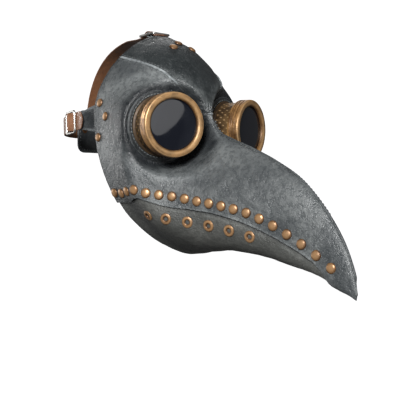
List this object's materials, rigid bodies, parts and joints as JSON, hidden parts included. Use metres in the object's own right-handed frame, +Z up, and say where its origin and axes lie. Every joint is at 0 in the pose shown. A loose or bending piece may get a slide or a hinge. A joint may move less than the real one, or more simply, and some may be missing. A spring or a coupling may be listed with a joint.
{
  "type": "plague doctor mask",
  "caption": "Full-face leather mask with a long downcurved beak, screw-on round goggles, a riveted jaw seam with eyelets and a buckled three-strap head harness.",
  "frame": {"origin": "centre of the wearer's head at eye level (mount head_seat)", "axes": "+Z up, -Y forwards along the beak, -X towards the wearer's right"},
  "size_m": [0.1846, 0.4254, 0.2957],
  "materials": {
    "grey_leather": "worn charcoal leather, dry-brushed lighter on the high places",
    "dark_leather": "near-black leather, soft sheen",
    "brown_leather": "mid-brown strap leather with darker edges",
    "bronze_bezel": "antique bronze paint, rubbed bright on the edges",
    "aged_bronze": "dark aged bronze paint with dimples",
    "smoked_lens": "smoked, near-opaque, highly polished",
    "black_rubber": "matt black",
    "copper_studs": "aged copper, darker round the foot",
    "nickel": "dull nickel plate"
  },
  "bodies": {
    "mask": {"forehead_panel": "grey_leather", "right_face_panel": "grey_leather", "left_face_panel": "grey_leather", "right_jaw_panel": "grey_leather", "left_jaw_panel": "grey_leather", "right_forehead_welt": "dark_leather", "left_forehead_welt": "dark_leather", "bridge_welt": "dark_leather", "beak_welt": "dark_leather", "right_goggle_pad": "dark_leather", "left_goggle_pad": "dark_leather", "right_barrel": "aged_bronze", "left_barrel": "aged_bronze", "right_clamp_ring": "aged_bronze", "left_clamp_ring": "aged_bronze", "right_jaw_rivets": "copper_studs", "left_jaw_rivets": "copper_studs", "right_eyelets": "copper_studs", "left_eyelets": "copper_studs", "right_temple_rivets": "copper_studs", "left_temple_rivets": "copper_studs", "crown_rivets": "copper_studs", "right_tab": "dark_leather", "left_tab": "dark_leather", "crown_tab": "dark_leather", "right_strap": "brown_leather", "left_strap": "brown_leather", "crown_strap": "brown_leather", "back_pad": "dark_leather", "back_rivets": "copper_studs"},
    "right_lens_carrier": {"right_lens": "smoked_lens", "right_lens_gasket": "black_rubber"},
    "left_lens_carrier": {"left_lens": "smoked_lens", "left_lens_gasket": "black_rubber"},
    "right_screw_ring": {"right_bezel": "bronze_bezel"},
    "left_screw_ring": {"left_bezel": "bronze_bezel"},
    "right_slider": {"right_buckle": "nickel", "right_strap_end": "brown_leather"},
    "left_slider": {"left_buckle": "nickel", "left_strap_end": "brown_leather"},
    "crown_slider": {"crown_buckle": "nickel", "crown_strap_end": "brown_leather"}
  },
  "joints": [
    {"name": "right_lens_slide", "type": "slide", "parent": "mask", "child": "right_lens_carrier", "axis": [-0.2755, -0.9607, -0.0349], "range_m": [0, 0.00501]},
    {"name": "right_bezel_turn", "type": "hinge", "parent": "right_lens_carrier", "child": "right_screw_ring", "pos_m": [-0.0483, -0.082, -0.0005], "axis": [-0.2755, -0.9607, -0.0349], "range_deg": [0, 900]},
    {"name": "right_buckle_tilt", "type": "hinge", "parent": "mask", "child": "right_slider", "pos_m": [-0.0752, 0.04863, 0.00945], "axis": [0, -0.0523, -0.9986], "range_deg": [0, 10]},
    {"name": "left_lens_slide", "type": "slide", "parent": "mask", "child": "left_lens_carrier", "axis": [0.2755, -0.9607, -0.0349], "range_m": [0, 0.00501]},
    {"name": "left_bezel_turn", "type": "hinge", "parent": "left_lens_carrier", "child": "left_screw_ring", "pos_m": [0.0483, -0.082, -0.0005], "axis": [0.2755, -0.9607, -0.0349], "range_deg": [0, 900]},
    {"name": "left_buckle_tilt", "type": "hinge", "parent": "mask", "child": "left_slider", "pos_m": [0.0752, 0.04863, 0.00945], "axis": [0, 0.0523, 0.9986], "range_deg": [0, 10]},
    {"name": "crown_buckle_tilt", "type": "hinge", "parent": "mask", "child": "crown_slider", "pos_m": [0, -0.0155, 0.113], "axis": [-1, 0, 0], "range_deg": [0, 10]}
  ],
  "couplings": [
    {"joint": "right_lens_slide", "follows": "right_bezel_turn", "m_per_rad": 0.00031831},
    {"joint": "left_lens_slide", "follows": "left_bezel_turn", "m_per_rad": 0.00031831}
  ]
}
